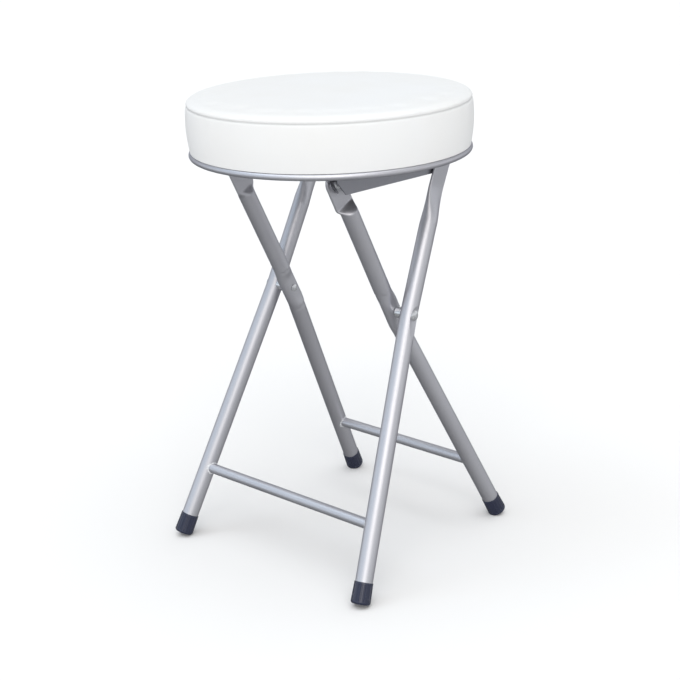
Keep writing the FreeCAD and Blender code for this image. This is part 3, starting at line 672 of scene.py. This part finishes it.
def sew_seam(piece, seat):
    """Draws the seam in to a sewn groove, with the rolled edge proud of it and small gathers."""
    for offset in SEAM_CUTS:
        bpy.ops.object.mode_set(mode="EDIT")
        bpy.ops.mesh.select_all(action="SELECT")
        bpy.ops.mesh.bisect(plane_co=(0, 0, seat.seam_height + offset), plane_no=(0, 0, 1))
    bpy.ops.mesh.select_all(action="SELECT")
    bpy.ops.mesh.remove_doubles(threshold=SEAM_MERGE)
    bpy.ops.object.mode_set(mode="OBJECT")
    for vertex in piece.data.vertices:
        level = (vertex.co.z - seat.seam_height) / GROOVE_WIDTH
        out = Vector((vertex.co.x, vertex.co.y, 0))
        if abs(level) > SEAM_REACH or out.length < seat.seam_radius * RIM_SHARE:
            continue
        gather = gather_height(math.atan2(vertex.co.y, vertex.co.x))
        evenness = GROOVE_EVEN + GROOVE_UNEVEN * gather
        drawn = seat.seam_depth * math.exp(-level * level) * evenness
        proud = EDGE_PROUD * math.exp(-((level - EDGE_LEVEL) / EDGE_SPAN) ** 2)
        pucker = seat.gather_depth * gather * math.exp(-(level / GATHER_SPAN) ** 2)
        vertex.co += out.normalized() * (proud + pucker - drawn)


class STOOL_OT_cushion(bpy.types.Operator):
    """Make the padded vinyl seat with its crown, rolled edge and sewn seam"""

    bl_idname = "stool.cushion"
    bl_label = "Padded Seat"

    def execute(self, context):
        seat = context.scene.stool_seat
        piece = spun_piece("seat_cushion", pad_outline(seat), PAD_STEPS)
        swell_pad(piece, seat)
        subdivide = piece.modifiers.new("even_curve", "SUBSURF")
        subdivide.levels = 1
        subdivide.render_levels = 1
        bpy.ops.object.modifier_apply(modifier=subdivide.name)
        trim_foot(seat)
        sew_seam(piece, seat)
        piece.data.transform(Matrix.Translation((0, SEAT_Y, 0)))
        piece.vertex_groups.clear()
        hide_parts("seat_cover_top", "seat_cover_band", "foam_pad")
        finish_piece(piece, "seat", vinyl_finish(seat), angle=60)
        return {"FINISHED"}


# Feet and welds

def lower_leg(legs, outer, side):
    """Two points on a lower leg's axis: at the crossing and on the floor."""
    hinge_y = SEAT_HINGE.y if outer else -SEAT_HINGE.y
    lean = (hinge_y - CROSSING.y) / (SEAT_HINGE.z - CROSSING.z)
    spread = legs.outer_spread if outer else legs.inner_spread
    high = Vector((side * spread, CROSSING.y, CROSSING.z))
    low = Vector((side * (spread + legs.splay), CROSSING.y - lean * CROSSING.z, 0))
    return high, low


def cap_outline(legs):
    """Outline of an upright cap, from the middle underneath round to the inside of its mouth."""
    inside = legs.tube_radius + CAP_PLAY
    edge = legs.cap_edge
    points = [(0.0, 0.0), ((legs.cap_foot - edge) / 2, 0.0)]
    points += arc_points((legs.cap_foot - edge, edge), edge, edge, -90, 0, CAP_EDGE_STEPS)
    points += [(legs.cap_foot - SIDE_EASE, edge + SIDE_START),
               (legs.cap_mouth + SIDE_EASE, legs.cap_length - SIDE_STOP),
               (legs.cap_mouth, legs.cap_length - MOUTH_EDGE),
               (legs.cap_mouth - MOUTH_EDGE, legs.cap_length)]
    return points + [(inside, legs.cap_length), (inside, CAP_SOLE), (0.0, CAP_SOLE)]


def flute_cap(piece, legs):
    """Presses every second strip of the cap's side in."""
    low = legs.cap_edge + SIDE_START
    high = legs.cap_length - SIDE_STOP
    wall = (legs.tube_radius + legs.cap_mouth) / 2
    strips = 2 * legs.flutes
    bpy.ops.object.mode_set(mode="EDIT")
    bpy.ops.mesh.select_mode(type="FACE")
    bpy.ops.mesh.select_all(action="DESELECT")
    bpy.ops.object.mode_set(mode="OBJECT")
    for polygon in piece.data.polygons:
        middle = polygon.center
        strip = int(math.atan2(middle.y, middle.x) / math.tau * strips + strips)
        outside = math.hypot(middle.x, middle.y) > wall
        polygon.select = outside and low < middle.z < high and strip % 2 == 0
    bpy.ops.object.mode_set(mode="EDIT")
    bpy.ops.mesh.inset(thickness=FLUTE_INSET, depth=-legs.flute_depth, use_even_offset=True)
    bpy.ops.mesh.select_mode(type="VERT")
    bpy.ops.object.mode_set(mode="OBJECT")


class STOOL_OT_foot_caps(bpy.types.Operator):
    """Make the four fluted foot caps"""

    bl_idname = "stool.foot_caps"
    bl_label = "Foot Caps"

    def execute(self, context):
        legs = context.scene.stool_legs
        material = cap_finish(legs)
        for outer, side, node in ((True, -1, "foot_cap_front_left"),
                                  (True, 1, "foot_cap_front_right"),
                                  (False, -1, "foot_cap_rear_left"),
                                  (False, 1, "foot_cap_rear_right")):
            high, low = lower_leg(legs, outer, side)
            up = (high - low).normalized()
            slope = math.sqrt(1 - up.z ** 2)
            lift = ((legs.cap_foot - legs.cap_edge) * slope + legs.cap_edge * (1 - up.z)
                    - legs.cap_sink)
            end = low + up * (lift / up.z)
            piece = spun_piece("fluted_" + node, cap_outline(legs), STEPS_PER_FLUTE * legs.flutes)
            flute_cap(piece, legs)
            leaning = up.to_track_quat("Z", "Y").to_matrix().to_4x4()
            piece.data.transform(Matrix.Translation(end) @ leaning)
            bpy.ops.object.mode_set(mode="EDIT")
            bpy.ops.mesh.select_all(action="SELECT")
            bpy.ops.mesh.bisect(plane_co=(0, 0, 0), plane_no=(0, 0, 1), clear_inner=True,
                                use_fill=True, threshold=TINY)
            bpy.ops.object.mode_set(mode="OBJECT")
            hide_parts(node)
            finish_piece(piece, "outer_frame" if outer else "inner_frame",
                         material, angle=35)
        return {"FINISHED"}


def lay_bead(piece, legs, ring_radius, middle, along, side):
    """Bends a flat ring on to the inner side of a leg's tube and ripples it."""
    for vertex in piece.data.vertices:
        turn = math.atan2(vertex.co.y, vertex.co.x)
        ripple = (1 + RIPPLE_DEPTH * math.sin(RIPPLES * turn)
                  + WANDER_DEPTH * math.sin(WANDERS * turn + 1))
        ring = Vector((math.cos(turn), math.sin(turn), 0)) * ring_radius
        bead = (vertex.co - ring) * ripple
        around = Vector((0, ring.x + bead.x, ring.y + bead.y))
        # Where a line along X through this point meets the tube
        start = around - along * around.dot(along)
        across = Vector((1, 0, 0)) - along * along.x
        square = across.length_squared
        linear = 2 * start.dot(across)
        constant = start.length_squared - legs.tube_radius ** 2
        root = math.sqrt(max(linear * linear - 4 * square * constant, 0))
        inner = (-linear - side * root) / (2 * square)
        vertex.co = middle + around + Vector((inner - side * abs(bead.z), 0, 0))
        vertex.co.x += side * legs.weld_radius * WELD_SINK


class STOOL_OT_welds(bpy.types.Operator):
    """Make the weld beads where the crossbars meet the legs"""

    bl_idname = "stool.welds"
    bl_label = "Welds"

    def execute(self, context):
        legs = context.scene.stool_legs
        material = bpy.data.materials["silver_paint"]
        ring_radius = legs.bar_radius + legs.weld_radius * WELD_STANDOFF
        for outer, side, name in ((True, -1, "weld_front_left"), (True, 1, "weld_front_right"),
                                  (False, -1, "weld_rear_left"), (False, 1, "weld_rear_right")):
            high, low = lower_leg(legs, outer, side)
            along = (high - low).normalized()
            middle = low + along * (legs.bar_height / along.z)
            deselect_all()
            bpy.ops.mesh.primitive_torus_add(
                major_radius=ring_radius, minor_radius=legs.weld_radius,
                major_segments=WELD_STEPS, minor_segments=BEAD_STEPS)
            piece = bpy.context.object
            piece.name = name
            piece.data.name = name
            lay_bead(piece, legs, ring_radius, middle, along, side)
            bpy.ops.object.mode_set(mode="EDIT")
            bpy.ops.mesh.select_all(action="SELECT")
            bpy.ops.mesh.normals_make_consistent(inside=False)
            bpy.ops.object.mode_set(mode="OBJECT")
            finish_piece(piece, "outer_frame" if outer else "inner_frame",
                         material, angle=60)
        return {"FINISHED"}


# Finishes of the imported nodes

class STOOL_OT_silver(bpy.types.Operator):
    """Paint the pan, the legs and the crossbars silver, and the rails in a darker copy of it, as
    painted shade of the seat above them
    """

    bl_idname = "stool.silver"
    bl_label = "Silver Paint"

    def execute(self, context):
        legs = context.scene.stool_legs
        dress(SILVER_NODES, silver_finish("silver_paint", legs.silver_color,
                                          legs.silver_light_color))
        # Painted shade: the rails get the silver finish in darker colours, for the seat's shadow
        # over them
        dress(RAIL_NODES, silver_finish("rail_paint_painted_shade", legs.rail_shaded_color, legs.rail_shaded_flake_color))
        return {"FINISHED"}


class STOOL_OT_zinc(bpy.types.Operator):
    """Plate the rivets, studs, washers, spacers and screws"""

    bl_idname = "stool.zinc"
    bl_label = "Zinc Plate"

    def execute(self, context):
        dress(ZINC_NODES, zinc_finish(context.scene.stool_legs))
        return {"FINISHED"}


class STOOL_OT_board(bpy.types.Operator):
    """Give the board inside the seat its wood"""

    bl_idname = "stool.board"
    bl_label = "Seat Board"

    def execute(self, context):
        dress(["seat_board"], board_finish(context.scene.stool_board))
        return {"FINISHED"}


# Studio

def broad_light(name, turn, height, spread, strength, color, lights_all):
    """Distant soft light: angles in degrees, turned from the front towards +X."""
    turn = math.radians(turn)
    height = math.radians(height)
    place = Vector((math.sin(turn) * math.cos(height), -math.cos(turn) * math.cos(height),
                    math.sin(height)))
    deselect_all()
    bpy.ops.object.light_add(type="SUN", location=place * LIGHT_DISTANCE)
    lamp = bpy.context.object
    lamp.name = name
    lamp.rotation_euler = (-place).to_track_quat("-Z", "Y").to_euler()
    lamp.data.angle = math.radians(spread)
    lamp.data.energy = strength
    lamp.data.color = color
    lamp.visible_diffuse = lights_all


def studio_air():
    """World around the studio: pale at the horizon, darker straight down and to the left."""
    world = bpy.data.worlds.new("studio_air")
    world.use_nodes = True
    nodes = world.node_tree.nodes
    links = world.node_tree.links
    place = nodes.new("ShaderNodeTexCoord").outputs["Object"]

    def towards(direction, span, into):
        share = nodes.new("ShaderNodeVectorMath")
        share.operation = "DOT_PRODUCT"
        share.inputs[1].default_value = direction
        links.new(place, share.inputs[0])
        spread = nodes.new("ShaderNodeMapRange")
        for title, value in (("From Min", span[0]), ("From Max", span[1]),
                             ("To Min", into[0]), ("To Max", into[1])):
            spread.inputs[title].default_value = value
        links.new(share.outputs["Value"], spread.inputs["Value"])
        return spread.outputs["Result"]

    glow = nodes.new("ShaderNodeMath")
    glow.operation = "MULTIPLY"
    links.new(towards((0.0, 0.0, 1.0), GLOW_FOOT, (0.0, 1.0)), glow.inputs[0])
    links.new(towards((0.0, 0.0, 1.0), GLOW_TOP, (1.0, 0.0)), glow.inputs[1])
    strength = nodes.new("ShaderNodeMix")
    strength.inputs["B"].default_value = GLOW_STRENGTH
    links.new(glow.outputs[0], strength.inputs["Factor"])
    links.new(towards(AIR_RISE, AIR_SPAN, AIR_STRENGTHS), strength.inputs["A"])
    background = nodes["Background"]
    background.inputs["Color"].default_value = AIR_COLOR
    links.new(strength.outputs["Result"], background.inputs["Strength"])
    return world


def photo_camera(stage):
    """Camera at the photograph's place, with its roll and lens."""
    place = Vector(stage.camera_place)
    back = (place - Vector(stage.camera_target)).normalized()
    right = Vector((0, 0, 1)).cross(back).normalized()
    up = back.cross(right)
    turn_cos, turn_sin = math.cos(stage.camera_roll), math.sin(stage.camera_roll)
    rolled_right = right * turn_cos + up * turn_sin
    rolled_up = up * turn_cos - right * turn_sin
    turned = Matrix((rolled_right, rolled_up, back)).transposed().to_4x4()
    deselect_all()
    bpy.ops.object.camera_add()
    camera = bpy.context.object
    camera.name = "photo_camera"
    camera.matrix_world = Matrix.Translation(place) @ turned
    camera.data.sensor_width = SENSOR_WIDTH
    camera.data.lens = stage.camera_lens
    return camera


class STOOL_OT_stage(bpy.types.Operator):
    """Set up the floor, the lights and the camera"""

    bl_idname = "stool.stage"
    bl_label = "Studio"

    def execute(self, context):
        stage = context.scene.stool_stage
        deselect_all()
        bpy.ops.mesh.primitive_plane_add(size=FLOOR_SIZE, location=(0, 0, 0))
        floor = bpy.context.object
        floor.name = "studio_floor"
        floor.data.materials.append(floor_finish(stage))
        floor.visible_glossy = False
        for light in LIGHTS:
            broad_light(*light)
        context.scene.world = studio_air()
        context.scene.view_settings.view_transform = "Standard"
        context.scene.camera = photo_camera(stage)
        return {"FINISHED"}


class VIEW3D_PT_stool(bpy.types.Panel):
    """Steps that dress the stool"""

    bl_label = "Folding Stool"
    bl_idname = "VIEW3D_PT_stool"
    bl_space_type = "VIEW_3D"
    bl_region_type = "UI"
    bl_category = "Stool"

    def draw(self, context):
        scene = context.scene
        for step in STEPS:
            self.layout.operator(step.bl_idname)
        for title, settings in (("Seat", scene.stool_seat), ("Legs", scene.stool_legs),
                                ("Board", scene.stool_board), ("Studio", scene.stool_stage)):
            box = self.layout.box()
            box.label(text=title)
            for name in settings.__annotations__:
                box.prop(settings, name)


SETTINGS = (("stool_seat", StoolSeatSettings), ("stool_legs", StoolLegSettings),
            ("stool_board", StoolBoardSettings), ("stool_stage", StoolStageSettings))
STEPS = (STOOL_OT_silver, STOOL_OT_zinc, STOOL_OT_board, STOOL_OT_cushion, STOOL_OT_foot_caps,
         STOOL_OT_welds, STOOL_OT_stage)


def register():
    for name, group in SETTINGS:
        bpy.utils.register_class(group)
        setattr(bpy.types.Scene, name, PointerProperty(type=group))
    for step in STEPS:
        bpy.utils.register_class(step)
    bpy.utils.register_class(VIEW3D_PT_stool)


def unregister():
    bpy.utils.unregister_class(VIEW3D_PT_stool)
    for step in reversed(STEPS):
        bpy.utils.unregister_class(step)
    for name, group in reversed(SETTINGS):
        delattr(bpy.types.Scene, name)
        bpy.utils.unregister_class(group)


def main():
    register()
    bpy.ops.stool.silver()
    bpy.ops.stool.zinc()
    bpy.ops.stool.board()
    bpy.ops.stool.cushion()
    bpy.ops.stool.foot_caps()
    bpy.ops.stool.welds()
    bpy.ops.stool.stage()


if __name__ == "__main__":
    main()
